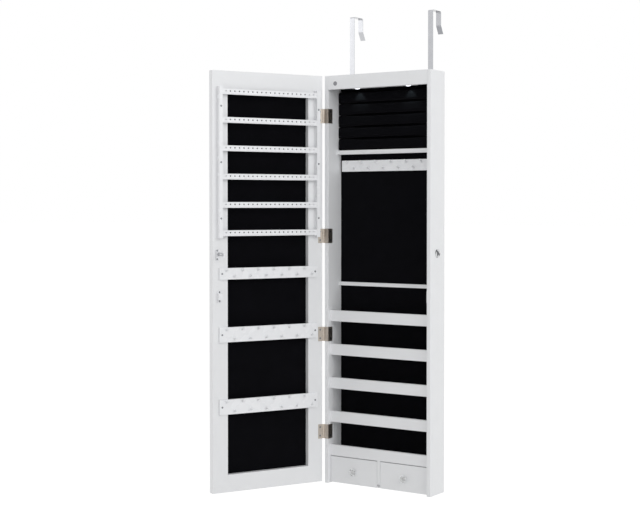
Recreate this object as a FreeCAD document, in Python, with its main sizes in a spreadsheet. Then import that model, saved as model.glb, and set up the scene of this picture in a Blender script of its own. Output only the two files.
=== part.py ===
import FreeCAD, Part
import os
import re
import Sketcher

# Over-the-door mirror cabinet, millimetres: X to the right, Y to the back, Z up.
# The origin is the middle of the cabinet's back face.  The door stands open.

# Sizes that are set by hand, each one by itself
sizes = {
    # Carcass
    "cabinet_height": 1200,
    "cabinet_width": 357,
    "cabinet_depth": 80,
    "side_thickness": 12.5,
    "board_thickness": 12,
    "back_thickness": 6,
    "back_rabbet": 6,
    "liner_thickness": 5,
    "arris_radius": 1.5,
    "top_rail_height": 40.5,
    "top_rail_thickness": 12,
    "front_recess": 14,
    # Ring cushion, its shelf and the necklace space
    "ring_space_height": 217.5,
    "ring_shelf_thickness": 12,
    "cushion_depth": 19.5,
    "cushion_roll_pitch": 34.5,
    "cushion_rolls": 5,
    "cushion_crown": 6,
    "cushion_end_radius": 5,
    "seat_gap": 0.3,
    "batten_rise": 114.2,
    "batten_height": 10.5,
    "batten_thickness": 8,
    # Shelves and drawers
    "lip_height": 32,
    "lip_thickness": 9,
    "shelf_pitch": 99.4,
    "drawer_bay_height": 68.7,
    "shelf_thickness": 9,
    "divider_thickness": 10,
    "drawer_gap": 0.8,
    "drawer_top_gap": 2,
    "drawer_front_thickness": 12,
    "drawer_front_underlap": 2,
    "tray_wall": 4,
    "tray_floor": 3,
    "tray_side_gap": 1,
    "tray_height": 54,
    "tray_back_gap": 2.5,
    "slide_gap": 0.3,
    "knob_radius": 10.5,
    "knob_neck_radius": 4.5,
    "knob_table_radius": 6.5,
    "knob_neck_length": 4,
    "knob_length": 15,
    "knob_height": 39,
    # Hook bars
    "bar_end_gap": 7,
    "bar_thickness": 6,
    "tall_bar_height": 42.5,
    "low_bar_height": 32.5,
    "hook_pitch": 25.2,
    "hook_reach": 12,
    "hook_width": 4,
    "hook_root": 6,
    "hook_rise": 8,
    "hook_lip": 3,
    "hook_edge": 8,
    "necklace_bar_drop": 18,
    "first_bar_drop": 84.8,
    "second_bar_drop": 168,
    "third_bar_drop": 205.2,
    # Lamp housing and switch
    "lamp_width": 220,
    "lamp_depth": 30,
    "lamp_height": 24,
    "lamp_wall": 2,
    "lamp_gap": 6,
    "lens_spacing": 172,
    "lens_radius": 9,
    "lens_drop": 2.5,
    "switch_offset": 37,
    "switch_drop": 23.5,
    "switch_bezel_radius": 6.3,
    "switch_bezel_thickness": 0.6,
    "switch_body_radius": 5,
    "switch_body_length": 16,
    "switch_button_radius": 3.6,
    "switch_button_out": 2.2,
    "switch_button_length": 10,
    "running_gap": 0.2,
    # Door
    "door_gap": 3,
    "door_thickness": 20,
    "door_bottom_gap": 4,
    "door_angle": 116,
    "stile_width": 47.5,
    "door_rail_height": 50,
    "recess_depth": 15,
    "mirror_border": 20,
    "mirror_thickness": 3.2,
    "pivot_offset": 3.2,
    # Earring rack
    "rack_margin": 15,
    "rack_cheek_width": 11,
    "rack_depth": 15,
    "rack_drop": 45,
    "rack_foot": 5.9,
    "rack_rail_height": 16.2,
    "rack_rail_thickness": 3,
    "rack_rail_pitch": 79.9,
    "rack_rail_lip": 2,
    "rack_rail_drop": 22.6,
    "rack_hole_radius": 2.2,
    "rack_hole_pitch": 14.2,
    "rack_hole_drop": 6.5,
    # Lock, strike and magnetic catch
    "lock_depth": 41,
    "lock_drop": 43,
    "lock_face_radius": 12,
    "lock_face_thickness": 2,
    "lock_barrel_radius": 8,
    "lock_barrel_inside": 5,
    "lock_nut_radius": 9,
    "lock_nut_thickness": 2.5,
    "lock_plug_radius": 5,
    "cam_gap": 0.5,
    "cam_thickness": 2,
    "cam_hub_radius": 6,
    "cam_arm_width": 4,
    "cam_arm_offset": 3.5,
    "cam_hook_drop": 10.5,
    "cam_post_radius": 3,
    "cam_screw_radius": 4.5,
    "cam_screw_height": 1.5,
    "strike_thickness": 1.5,
    "strike_drop": 20.7,
    "strike_height": 33.3,
    "strike_width": 9.5,
    "tongue_drop": 7.6,
    "tongue_height": 10,
    "tongue_lip": 3.5,
    "lip_gap": 1,
    "catch_drop": 138.5,
    "catch_height": 32.5,
    "catch_width": 12,
    "catch_depth": 13,
    "catch_ear": 7,
    "catch_ear_thickness": 3,
    "catch_plate_thickness": 1.2,
    "catch_plate_length": 16,
    "catch_margin": 14.5,
    # Hinges
    "leaf_thickness": 1.2,
    "hinge_height": 42,
    "knuckle_radius": 2.7,
    "pin_radius": 1.5,
    "pin_gap": 0.05,
    "knuckle_gap": 0.3,
    "leaf_root": 3.1,
    "door_leaf_width": 14,
    "return_length": 21,
    "leaf_screw_spread": 12.6,
    "wall_screw_reach": 11.5,
    "door_leaf_screw_reach": 7.7,
    "top_hinge_drop": 117.6,
    "hinge_height_two": 130.1,
    "third_hinge_rise": 61.6,
    "foot_hinge_rise": 71.8,
    # Screws
    "screw_radius": 1.5,
    "screw_gap": 0.1,
    "screw_head_radius": 2.8,
    "screw_head_height": 1.4,
    "short_screw": 9,
    "bar_screw": 14,
    "rack_screw": 26,
    "bar_screw_margin": 8,
    # Over-door hooks
    "strap_inset": 45.5,
    "strap_width": 16,
    "strap_thickness": 1.5,
    "strap_clearance": 0.2,
    "strap_gap": 45,
    "strap_rise": 179,
    "strap_foot": 55,
    "strap_leg": 40,
    "strap_tab": 24,
    "strap_flare": 13.4,
    "strap_bend": 3,
}

# Places that follow from them
derived = {
    "half_inside": "=cabinet_width / 2 - side_thickness",
    "half_height": "=cabinet_height / 2",
    "front_face": "=-cabinet_depth",
    "inner_front": "=front_recess - cabinet_depth",
    "back_inside": "=-back_thickness - liner_thickness",
    "door_top": "=half_height",
    "door_bottom": "=door_bottom_gap - half_height",
    "door_face": "=-door_gap / 2",
    "door_outside": "=-door_gap / 2 - door_thickness",
    "pivot_x": "=-cabinet_width / 2 - pivot_offset",
    "pivot_y": "=-cabinet_depth - door_gap / 2",
    "door_cos": "=cos(door_angle)",
    "door_sin": "=sin(door_angle)",
    "door_middle": "=pivot_offset + cabinet_width / 2",
    "door_free": "=pivot_offset + cabinet_width",
    "rack_front": "=door_face + rack_depth",
    "shelf_floor": "=board_thickness - half_height + drawer_bay_height",
    "floor_top": "=board_thickness - half_height",
    "tongue_outside": "=half_inside - lock_barrel_inside - cam_gap",
    "cam_outside": "=tongue_outside - strike_thickness - cam_gap",
    "cam_inside": "=cam_outside - cam_thickness",
    "lip_back": "=-lock_depth - cam_hub_radius - lip_gap",
    "cam_reach": "=cam_hub_radius + lip_gap + strike_thickness + lip_gap + cam_arm_width",
    "ring_shelf_top": "=half_height - ring_space_height",
    "batten_top": "=shelf_floor + shelf_pitch * 4 + batten_rise",
    "necklace_bar_top": "=ring_shelf_top - ring_shelf_thickness - necklace_bar_drop",
    "bar_length": "=(half_inside - bar_end_gap) * 2",
    "switch_height": "=half_height - switch_drop",
    "hinge_height_one": "=half_height - top_hinge_drop",
    "hinge_height_three": "=shelf_floor + shelf_pitch * 3 + third_hinge_rise",
    "hinge_height_four": "=shelf_floor + foot_hinge_rise",
    "strap_spacing": "=cabinet_width - strap_inset * 2",
    "rack_top": "=door_top - rack_drop",
    "rack_first_rail": "=rack_top - rack_rail_drop",
    "rack_bottom": "=rack_first_rail - rack_rail_pitch * 5 - rack_foot",
    "door_bar_top_one": "=rack_bottom - first_bar_drop",
    "door_bar_top_two": "=door_bar_top_one - second_bar_drop",
    "door_bar_top_three": "=door_bar_top_two - third_bar_drop",
    "lock_height": "=rack_bottom - lock_drop",
    "strike_bottom": "=lock_height - strike_drop",
    "catch_bottom": "=lock_height - catch_drop",
}

doc = FreeCAD.newDocument("mirror_cabinet")
sheet = doc.addObject("Spreadsheet::Sheet", "Dims")
names = list(sizes) + list(derived)
for row, (name, value) in enumerate(list(sizes.items()) + list(derived.items()), 1):
    sheet.set("A%d" % row, str(value))
    sheet.setAlias("A%d" % row, name)
doc.recompute()


def words(text):
    """An expression with every named size looked up in the sheet."""
    return re.sub(r"[a-z][a-z_]+", lambda m: ("Dims." if m.group() in names else "") + m.group(), str(text))


def bind(item, prop, text):
    item.setExpression(prop, words(text))


def place(item, x, y, z):
    """Set a body down by its own corner or axis, in the cabinet's frame."""
    bind(item, ".Placement.Base.x", x)
    bind(item, ".Placement.Base.y", y)
    bind(item, ".Placement.Base.z", z)
    return item


def opened():
    """The open door's turn about the hinge pins."""
    turn = FreeCAD.Rotation(FreeCAD.Vector(0, 0, -1), sheet.get("door_angle"))
    return FreeCAD.Placement(FreeCAD.Vector(), turn)


def swing(item):
    """Hang a finished piece, drawn on the closed door about the pin, at the open angle."""
    item.Placement = opened()
    bind(item, ".Placement.Rotation.Angle", "door_angle")
    return place(item, "pivot_x", "pivot_y", "0")


def box(name, low, span):
    item = doc.addObject("Part::Box", name)
    for prop, text in zip(("Length", "Width", "Height"), span):
        bind(item, prop, text)
    return place(item, *low)


TURNS = {
    "x": FreeCAD.Rotation(FreeCAD.Vector(0, 1, 0), 90),
    "y": FreeCAD.Rotation(FreeCAD.Vector(1, 0, 0), -90),
    "-y": FreeCAD.Rotation(FreeCAD.Vector(1, 0, 0), 90),
    "-x": FreeCAD.Rotation(FreeCAD.Vector(0, 1, 0), -90),
    "z": FreeCAD.Rotation(),
}


def rod(name, axis, start, radius, length):
    item = doc.addObject("Part::Cylinder", name)
    item.Placement = FreeCAD.Placement(FreeCAD.Vector(), TURNS[axis])
    bind(item, "Radius", radius)
    bind(item, "Height", length)
    return place(item, *start)


def join(name, items):
    item = doc.addObject("Part::MultiFuse", name)
    item.Shapes = items
    item.Refine = True
    return item


def cut(name, base, tools):
    item = doc.addObject("Part::Cut", name)
    item.Base = base
    item.Tool = tools[0] if len(tools) == 1 else join(name + "_holes", tools)
    item.Refine = True
    return item


def group(name, items):
    item = doc.addObject("Part::Compound", name)
    item.Links = items
    return item


def body(name):
    return doc.addObject("PartDesign::Body", name)


def plane(item, role):
    return next(o for o in item.Origin.OriginFeatures if o.Role == role)


def outline(item, name, role, points, shift="0"):
    """A closed polygon sketch, every corner held by its own two sizes."""
    sketch = item.newObject("Sketcher::SketchObject", name)
    sketch.AttachmentSupport = [(plane(item, role), "")]
    sketch.MapMode = "FlatFace"
    bind(sketch, ".AttachmentOffset.Base.z", shift)
    count = len(points)
    for n in range(count):
        here = FreeCAD.Vector(n, n * n, 0)
        there = FreeCAD.Vector((n + 1) % count, ((n + 1) % count) ** 2, 0)
        sketch.addGeometry(Part.LineSegment(here, there), False)
    for n in range(count):
        sketch.addConstraint(Sketcher.Constraint("Coincident", n, 2, (n + 1) % count, 1))
    for n, (across, up) in enumerate(points):
        for kind, text in (("DistanceX", across), ("DistanceY", up)):
            start = sketch.evalExpression(words(text))
            held = sketch.addConstraint(Sketcher.Constraint(kind, -1, 1, n, 1, float(start)))
            bind(sketch, "Constraints[%d]" % held, text)
    return sketch


def pad(item, name, sketch, length, middle=False):
    feature = item.newObject("PartDesign::Pad", name)
    feature.Profile = sketch
    if middle:
        feature.SideType = "Symmetric"
    bind(feature, "Length", length)
    item.Tip = feature
    return feature


def pocket(item, name, sketch, length, reverse=False):
    feature = item.newObject("PartDesign::Pocket", name)
    feature.Profile = sketch
    feature.Reversed = reverse
    bind(feature, "Length", length)
    item.Tip = feature
    return feature


def soften(item, name, feature, radius, wanted):
    """Round the edges that the test accepts, by their own box and the whole piece's."""
    doc.recompute()
    whole = feature.Shape.BoundBox
    edges = []
    for n, edge in enumerate(feature.Shape.Edges, 1):
        if wanted(edge.BoundBox, whole):
            edges.append("Edge%d" % n)
    fillet = item.newObject("PartDesign::Fillet", name)
    fillet.Base = (feature, edges)
    bind(fillet, "Radius", radius)
    item.Tip = fillet
    return fillet


def upright_in_front(edge, whole):
    return edge.ZLength > whole.ZLength / 2 and edge.YMax < whole.YMin + 0.1


def lies_across(edge):
    return edge.XLength > edge.YLength + edge.ZLength


made = []


def keep(item, name=None):
    """Mark a finished object as a piece of the cabinet."""
    item.Label = name or item.Name
    made.append(item)
    return item


# Screws: a shank in its own pilot hole, and a low slotted head on the surface
def screw(name, axis, start, length):
    shank = rod(name + "_shank", axis, start, "screw_radius", length)
    head = doc.addObject("Part::Cone", name + "_head")
    back = {"x": "-x", "-x": "x", "y": "-y", "-y": "y"}[axis]
    head.Placement = FreeCAD.Placement(FreeCAD.Vector(), TURNS[back])
    bind(head, "Radius1", "screw_head_radius")
    bind(head, "Radius2", "screw_head_radius * 0.6")
    bind(head, "Height", "screw_head_height")
    place(head, *start)
    return join(name, [shank, head])


def flush_screw(name, axis, start, length):
    """A screw whose head sits in a countersunk hole, level with a hinge leaf or a plate."""
    head = doc.addObject("Part::Cone", name + "_head")
    head.Placement = FreeCAD.Placement(FreeCAD.Vector(), TURNS[axis])
    bind(head, "Radius1", "screw_head_radius")
    bind(head, "Radius2", "screw_radius")
    bind(head, "Height", "leaf_thickness")
    place(head, *start)
    return join(name, [head, rod(name + "_shank", axis, start, "screw_radius", length)])


def sunk_hole(name, axis, start):
    """The countersunk hole for such a screw, through a leaf or a plate."""
    hole = doc.addObject("Part::Cone", name)
    hole.Placement = FreeCAD.Placement(FreeCAD.Vector(), TURNS[axis])
    bind(hole, "Radius1", "screw_head_radius + screw_gap")
    bind(hole, "Radius2", "screw_radius + screw_gap")
    bind(hole, "Height", "leaf_thickness")
    place(hole, *start)
    way = rod(name + "_way", axis, start, "screw_radius + screw_gap", "leaf_thickness * 2")
    return join(name + "_through", [hole, way])


def pilot(name, axis, start, length):
    return rod(name, axis, start, "screw_radius + screw_gap", length + " + 1")


# Hinge screws, two in each leaf: sideways into the cabinet's inner wall, and into the door
hinge_heights = ["hinge_height_one", "hinge_height_two", "hinge_height_three", "hinge_height_four"]
wall_screws = []
for place_name in hinge_heights:
    for side in ("-", "+"):
        wall_screws.append("%s %s leaf_screw_spread" % (place_name, side))
wall_screw_y = "front_face + wall_screw_reach"
door_leaf_screw_x = "pivot_offset + door_leaf_screw_reach"


# Side panels, with a rabbet for the back and the front arrises rounded
def side_panel(name, left):
    item = body(name)
    corners = [
        ("0", "0"),
        ("side_thickness", "0"),
        ("side_thickness", "cabinet_depth - back_thickness"),
        ("side_thickness - back_rabbet", "cabinet_depth - back_thickness"),
        ("side_thickness - back_rabbet", "cabinet_depth"),
        ("0", "cabinet_depth"),
    ]
    if not left:
        corners = [("side_thickness - (%s)" % across, up) for across, up in reversed(corners)]
    sketch = outline(item, name + "_profile", "XY_Plane", corners)
    feature = pad(item, name + "_pad", sketch, "cabinet_height")
    soften(item, name + "_arris", feature, "arris_radius", upright_in_front)
    x = "-cabinet_width / 2" if left else "half_inside"
    return place(item, x, "front_face", "-half_height")


left_blank = side_panel("side_panel_left_blank", True)
left_pilots = [
    pilot("left_pilot_%d" % n, "-x", ("-half_inside + 1", wall_screw_y, z), "short_screw")
    for n, z in enumerate(wall_screws)
]
keep(cut("side_panel_left", left_blank, left_pilots))

right_blank = side_panel("side_panel_right_blank", False)
plate_screws = ["catch_bottom + catch_height * 0.2", "catch_bottom + catch_height * 0.8"]
plate_screw_y = "front_face + catch_plate_length * 0.6"
lock_hole = rod(
    "lock_hole",
    "x",
    ("half_inside - 1", "-lock_depth", "lock_height"),
    "lock_barrel_radius + running_gap / 2",
    "side_thickness + 2",
)
right_pilots = [
    pilot("right_pilot_%d" % n, "x", ("half_inside - 1", plate_screw_y, z), "short_screw")
    for n, z in enumerate(plate_screws)
]
keep(cut("side_panel_right", right_blank, [lock_hole] + right_pilots))

# Top and bottom panels, and the rail across the top of the front
strap_screws = ["half_height - board_thickness / 2", "half_height - board_thickness * 2.5"]
strap_xs = ["-strap_spacing / 2", "strap_spacing / 2"]
top_blank = box(
    "top_panel_blank",
    ("-half_inside", "front_face + top_rail_thickness", "half_height - board_thickness"),
    ("half_inside * 2", "cabinet_depth - top_rail_thickness - back_thickness", "board_thickness"),
)
top_pilots = [
    pilot("top_pilot_%d" % n, "-y", (x, "1", strap_screws[0]), "short_screw") for n, x in enumerate(strap_xs)
]
keep(cut("top_panel", top_blank, top_pilots))
keep(
    box(
        "bottom_panel",
        ("-half_inside", "inner_front + drawer_front_thickness + 0.5", "-half_height"),
        (
            "half_inside * 2",
            "cabinet_depth - front_recess - drawer_front_thickness - 0.5 - back_thickness",
            "board_thickness",
        ),
    )
)
rail_blank = box(
    "top_rail_blank",
    ("-half_inside", "front_face", "half_height - top_rail_height"),
    ("half_inside * 2", "top_rail_thickness", "top_rail_height"),
)
switch_x = "-cabinet_width / 2 + switch_offset"
switch_hole = rod(
    "switch_hole",
    "y",
    (switch_x, "front_face - 1", "switch_height"),
    "switch_body_radius + running_gap / 2",
    "top_rail_thickness + 2",
)
keep(cut("top_rail", rail_blank, [switch_hole]))

# Back panel in the rabbets, grooved for the over-door hooks, and the velvet-covered board on it
back_blank = box(
    "back_panel_blank",
    ("-half_inside - back_rabbet", "-back_thickness", "-half_height"),
    ("(half_inside + back_rabbet) * 2", "back_thickness", "cabinet_height"),
)
back_cuts = []
for n, x in enumerate(strap_xs):
    groove = box(
        "strap_groove_%d" % n,
        (
            x + " - strap_width / 2 - strap_clearance",
            "-strap_thickness",
            "half_height - strap_foot - strap_clearance",
        ),
        ("strap_width + strap_clearance * 2", "strap_thickness + 1", "strap_foot + strap_clearance + 1"),
    )
    back_cuts.append(groove)
    for m, z in enumerate(strap_screws):
        back_cuts.append(pilot("back_pilot_%d_%d" % (m, n), "-y", (x, "1", z), "short_screw"))
keep(cut("back_panel", back_blank, back_cuts))
keep(
    box(
        "back_liner",
        ("-half_inside", "back_inside", "shelf_floor"),
        ("half_inside * 2", "liner_thickness", "half_height - top_rail_height - shelf_floor"),
    )
)

# Ring cushion: rolls of foam side by side, crowned to the front, on its own shelf
keep(
    box(
        "ring_shelf",
        ("-half_inside", "back_inside - cushion_depth", "ring_shelf_top - ring_shelf_thickness"),
        ("half_inside * 2", "cushion_depth", "ring_shelf_thickness"),
    )
)
limits = body("cushion_limits")
limit_sketch = outline(
    limits,
    "cushion_plan",
    "XY_Plane",
    [
        ("0", "0"),
        ("(half_inside - seat_gap) * 2", "0"),
        ("(half_inside - seat_gap) * 2", "cushion_depth - seat_gap"),
        ("0", "cushion_depth - seat_gap"),
    ],
)
limit_pad = pad(limits, "cushion_block", limit_sketch, "cushion_roll_pitch * cushion_rolls")
soften(
    limits,
    "cushion_ends",
    limit_pad,
    "cushion_end_radius",
    upright_in_front,
)
place(limits, "seat_gap - half_inside", "back_inside - cushion_depth", "ring_shelf_top + seat_gap")
roll_radius = "((cushion_roll_pitch / 2) ^ 2 + cushion_crown ^ 2) / (2 * cushion_crown)"
rolls = [
    box(
        "cushion_core",
        ("-half_inside", "back_inside - cushion_depth + cushion_crown", "ring_shelf_top"),
        ("half_inside * 2", "cushion_depth", "cushion_roll_pitch * (cushion_rolls + 1)"),
    )
]
for n in range(5):
    roll = rod(
        "cushion_roll_%d" % n,
        "x",
        (
            "-half_inside",
            "back_inside - cushion_depth + " + roll_radius,
            "ring_shelf_top + seat_gap + cushion_roll_pitch * %.1f" % (n + 0.5),
        ),
        roll_radius,
        "half_inside * 2",
    )
    rolls.append(roll)
cushion = doc.addObject("Part::Common", "ring_cushion")
cushion.Base = limits
cushion.Tool = join("cushion_rolls_joined", rolls)
cushion.Refine = True
keep(cushion)
keep(
    box(
        "necklace_batten",
        ("-half_inside", "back_inside - batten_thickness", "batten_top - batten_height"),
        ("half_inside * 2", "batten_thickness", "batten_height"),
    )
)

# Shelf boards with a lip in front of each
for n in range(5):
    floor = "shelf_floor + shelf_pitch * %d" % (4 - n)
    keep(
        box(
            "shelf_board_%d" % (n + 1),
            ("-half_inside", "inner_front + lip_thickness", floor),
            ("half_inside * 2", "back_inside - inner_front - lip_thickness", "shelf_thickness"),
        )
    )
    keep(
        box(
            "shelf_lip_%d" % (n + 1),
            ("-half_inside", "inner_front", floor),
            ("half_inside * 2", "lip_thickness", "lip_height"),
        )
    )
keep(
    box(
        "drawer_divider",
        ("-divider_thickness / 2", "inner_front", "floor_top"),
        ("divider_thickness", "back_inside - inner_front + liner_thickness", "shelf_floor - floor_top"),
    )
)


# Drawers: a front, a tray behind it, and a faceted knob
def drawer(side):
    left = side == "left"
    low = "drawer_gap - half_inside" if left else "divider_thickness / 2 + drawer_gap"
    wide = "half_inside - divider_thickness / 2 - drawer_gap * 2"
    middle = "(%s) + (%s) / 2" % (low, wide)
    keep(
        box(
            "drawer_%s_front" % side,
            (low, "inner_front", "drawer_front_underlap - half_height"),
            (
                wide,
                "drawer_front_thickness",
                "shelf_floor - drawer_top_gap + half_height - drawer_front_underlap",
            ),
        )
    )
    tray = body("drawer_%s_tray" % side)
    tray_wide = "(%s - tray_side_gap * 2)" % wide
    tray_long = "(back_inside + liner_thickness - tray_back_gap - inner_front - drawer_front_thickness)"
    plan = [("0", "0"), (tray_wide, "0"), (tray_wide, tray_long), ("0", tray_long)]
    pad(tray, "tray_%s_block" % side, outline(tray, "tray_%s_plan" % side, "XY_Plane", plan), "tray_height")
    inside = [
        ("tray_wall", "tray_wall"),
        (tray_wide + " - tray_wall", "tray_wall"),
        (tray_wide + " - tray_wall", tray_long + " - tray_wall"),
        ("tray_wall", tray_long + " - tray_wall"),
    ]
    hollow = outline(tray, "tray_%s_inside" % side, "XY_Plane", inside, "tray_height")
    pocket(tray, "tray_%s_hollow" % side, hollow, "tray_height - tray_floor")
    x = "%s + tray_side_gap" % low
    keep(place(tray, x, "inner_front + drawer_front_thickness", "floor_top + slide_gap"))
    rings = []
    for n, (radius, out) in enumerate(
        (
            ("knob_neck_radius", "0"),
            ("knob_neck_radius", "knob_neck_length"),
            ("knob_radius", "knob_length * 0.6"),
            ("knob_table_radius", "knob_length"),
        )
    ):
        ring = doc.addObject("Part::RegularPolygon", "knob_%s_ring_%d" % (side, n))
        ring.Polygon = 8
        bind(ring, "Circumradius", radius)
        bind(ring, ".Placement.Base.z", out)
        rings.append(ring)
    knob = doc.addObject("Part::Loft", "drawer_%s_knob" % side)
    knob.Sections = rings
    knob.Solid = True
    knob.Ruled = True
    knob.Placement = FreeCAD.Placement(FreeCAD.Vector(), TURNS["-y"])
    keep(place(knob, middle, "inner_front", "knob_height - half_height"))


drawer("left")
drawer("right")


# Hook bars: a strip with two rows of rising hooks, upper and lower hooks by turns
def hook_bar(name, height):
    item = body(name)
    strip = [("0", "0"), ("bar_length", "0"), ("bar_length", height), ("0", height)]
    pad(item, name + "_strip", outline(item, name + "_face", "XZ_Plane", strip), "bar_thickness")
    for row, (first, level) in enumerate((("0", height + " - hook_edge"), ("hook_pitch", "hook_edge"))):
        start = "bar_length / 2 - hook_pitch * 5.5 - hook_width / 2 + " + first
        reach = "-bar_thickness - hook_reach"
        side = [
            ("-bar_thickness + 1", "%s - hook_root / 2" % level),
            ("-bar_thickness + 1", "%s + hook_root / 2" % level),
            ("%s + hook_lip" % reach, "%s + hook_rise - hook_lip" % level),
            ("%s + hook_lip * 0.6" % reach, "%s + hook_rise" % level),
            (reach, "%s + hook_rise" % level),
            (reach, "%s + hook_rise - hook_lip * 1.6" % level),
        ]
        sketch = outline(item, "%s_hook_%d" % (name, row), "YZ_Plane", side, start)
        hook = pad(item, "%s_hook_pad_%d" % (name, row), sketch, "hook_width")
        pattern = item.newObject("PartDesign::LinearPattern", "%s_hooks_%d" % (name, row))
        pattern.Originals = [hook]
        pattern.Direction = (plane(item, "X_Axis"), [""])
        pattern.Occurrences = 6
        bind(pattern, "Length", "hook_pitch * 10")
        item.Tip = pattern
    return item


necklace = hook_bar("necklace_bar", "low_bar_height")
keep(place(necklace, "-bar_length / 2", "back_inside", "necklace_bar_top - low_bar_height"))

# Lamp housing behind the top rail: open below, closed by a cover with two round lenses
lamp_low = "half_height - board_thickness - lamp_height"
lamp_front = "front_face + top_rail_thickness + lamp_gap"
lamp_block = box(
    "lamp_block",
    ("-lamp_width / 2", lamp_front, lamp_low),
    ("lamp_width", "lamp_depth", "lamp_height"),
)
lamp_inside = box(
    "lamp_inside",
    ("lamp_wall - lamp_width / 2", lamp_front + " + lamp_wall", lamp_low + " - 1"),
    ("lamp_width - lamp_wall * 2", "lamp_depth - lamp_wall * 2", "lamp_height - lamp_wall + 1"),
)
keep(cut("light_housing", lamp_block, [lamp_inside]))
cover_blank = box(
    "light_cover_blank",
    ("-lamp_width / 2", lamp_front, lamp_low + " - lamp_wall"),
    ("lamp_width", "lamp_depth", "lamp_wall"),
)
lens_xs = ["-lens_spacing / 2", "lens_spacing / 2"]
lens_y = lamp_front + " + lamp_depth / 2"
lens_holes = [
    rod("lens_hole_%d" % n, "z", (x, lens_y, lamp_low + " - lamp_wall - 1"), "lens_radius", "lamp_wall + 2")
    for n, x in enumerate(lens_xs)
]
keep(cut("light_cover", cover_blank, lens_holes))
lenses = []
for n, x in enumerate(lens_xs):
    lenses.append(
        rod(
            "lens_%d" % n,
            "z",
            (x, lens_y, lamp_low + " - lamp_wall - lens_drop"),
            "lens_radius - running_gap / 2",
            "lamp_wall + lens_drop",
        )
    )
keep(group("light_lenses", lenses))

# Push switch in the top rail: a bezel and barrel, with a sprung button in its bore
switch_front = "front_face - switch_bezel_thickness"
switch_solid = join(
    "switch_solid",
    [
        rod(
            "switch_bezel",
            "y",
            (switch_x, switch_front, "switch_height"),
            "switch_bezel_radius",
            "switch_bezel_thickness",
        ),
        rod(
            "switch_barrel",
            "y",
            (switch_x, "front_face", "switch_height"),
            "switch_body_radius",
            "switch_body_length",
        ),
    ],
)
switch_bore = rod(
    "switch_bore",
    "y",
    (switch_x, switch_front + " - 1", "switch_height"),
    "switch_button_radius + running_gap",
    "switch_body_length - 1",
)
keep(cut("switch_body", switch_solid, [switch_bore]))
keep(
    rod(
        "switch_button",
        "y",
        (switch_x, "front_face - switch_button_out", "switch_height"),
        "switch_button_radius",
        "switch_button_length",
    )
)

# Cam lock through the right side panel
lock_axis = ("-lock_depth", "lock_height")
lock_solid = join(
    "lock_solid",
    [
        rod("lock_face", "x", ("cabinet_width / 2",) + lock_axis, "lock_face_radius", "lock_face_thickness"),
        rod(
            "lock_tube",
            "x",
            ("half_inside - lock_barrel_inside",) + lock_axis,
            "lock_barrel_radius",
            "side_thickness + lock_barrel_inside + lock_face_thickness / 2",
        ),
    ],
)
lock_bore = rod(
    "lock_bore",
    "x",
    ("half_inside - lock_barrel_inside - 1",) + lock_axis,
    "lock_plug_radius + pin_gap",
    "side_thickness + lock_barrel_inside + lock_face_thickness + 2",
)
keep(cut("lock_barrel", lock_solid, [lock_bore]))
nut_blank = doc.addObject("Part::Prism", "lock_nut_blank")
nut_blank.Polygon = 6
nut_blank.Placement = FreeCAD.Placement(FreeCAD.Vector(), TURNS["x"])
bind(nut_blank, "Circumradius", "lock_nut_radius + 1.4")
bind(nut_blank, "Height", "lock_nut_thickness")
place(nut_blank, "half_inside - lock_nut_thickness", *lock_axis)
nut_round = rod(
    "lock_nut_round",
    "x",
    ("half_inside - lock_nut_thickness",) + lock_axis,
    "lock_nut_radius",
    "lock_nut_thickness",
)
nut_shape = doc.addObject("Part::Common", "lock_nut_shape")
nut_shape.Base = nut_blank
nut_shape.Tool = nut_round
nut_hole = rod(
    "lock_nut_hole",
    "x",
    ("half_inside - lock_nut_thickness - 1",) + lock_axis,
    "lock_barrel_radius + pin_gap",
    "lock_nut_thickness + 2",
)
keep(cut("lock_nut", nut_shape, [nut_hole]))
plug_solid = join(
    "lock_plug_solid",
    [
        rod(
            "lock_plug_round",
            "x",
            ("cam_outside",) + lock_axis,
            "lock_plug_radius",
            "cabinet_width / 2 + lock_face_thickness + 0.4 - cam_outside",
        ),
        rod("lock_plug_post", "x", ("cam_inside",) + lock_axis, "cam_post_radius", "cam_thickness + 1"),
        rod(
            "lock_cam_screw",
            "x",
            ("cam_inside - cam_screw_height",) + lock_axis,
            "cam_screw_radius",
            "cam_screw_height",
        ),
    ],
)
keyway = box(
    "lock_keyway",
    ("cabinet_width / 2 - 2", "-lock_depth - 0.8", "lock_height - lock_plug_radius * 0.7"),
    ("lock_face_thickness + 4", "1.6", "lock_plug_radius * 1.4"),
)
keep(cut("lock_plug", plug_solid, [keyway]))
cam_solid = join(
    "lock_cam_solid",
    [
        rod("cam_hub", "x", ("cam_inside",) + lock_axis, "cam_hub_radius", "cam_thickness"),
        box(
            "cam_arm",
            ("cam_inside", "cam_arm_offset - lock_depth", "lock_height"),
            ("cam_thickness", "cam_arm_width", "cam_reach"),
        ),
        box(
            "cam_hook",
            (
                "cam_inside",
                "cam_arm_offset + cam_arm_width - cam_hook_drop - lock_depth",
                "lock_height + cam_reach - cam_arm_width",
            ),
            ("cam_thickness", "cam_hook_drop", "cam_arm_width"),
        ),
    ],
)
cam_hole = rod("cam_hole", "x", ("cam_inside - 1",) + lock_axis, "cam_post_radius", "cam_thickness + 2")
keep(cut("lock_cam", cam_solid, [cam_hole]))

# Steel plate for the magnetic catch, on the inner face of the right side panel
keeper_x = "half_inside - catch_plate_thickness"
plate_blank = box(
    "catch_plate_blank",
    (keeper_x, "front_face + 1.5", "catch_bottom"),
    ("catch_plate_thickness", "catch_plate_length", "catch_height"),
)
plate_holes = [
    sunk_hole("plate_hole_%d" % n, "x", (keeper_x, plate_screw_y, z)) for n, z in enumerate(plate_screws)
]
keep(cut("catch_plate", plate_blank, plate_holes))


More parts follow.
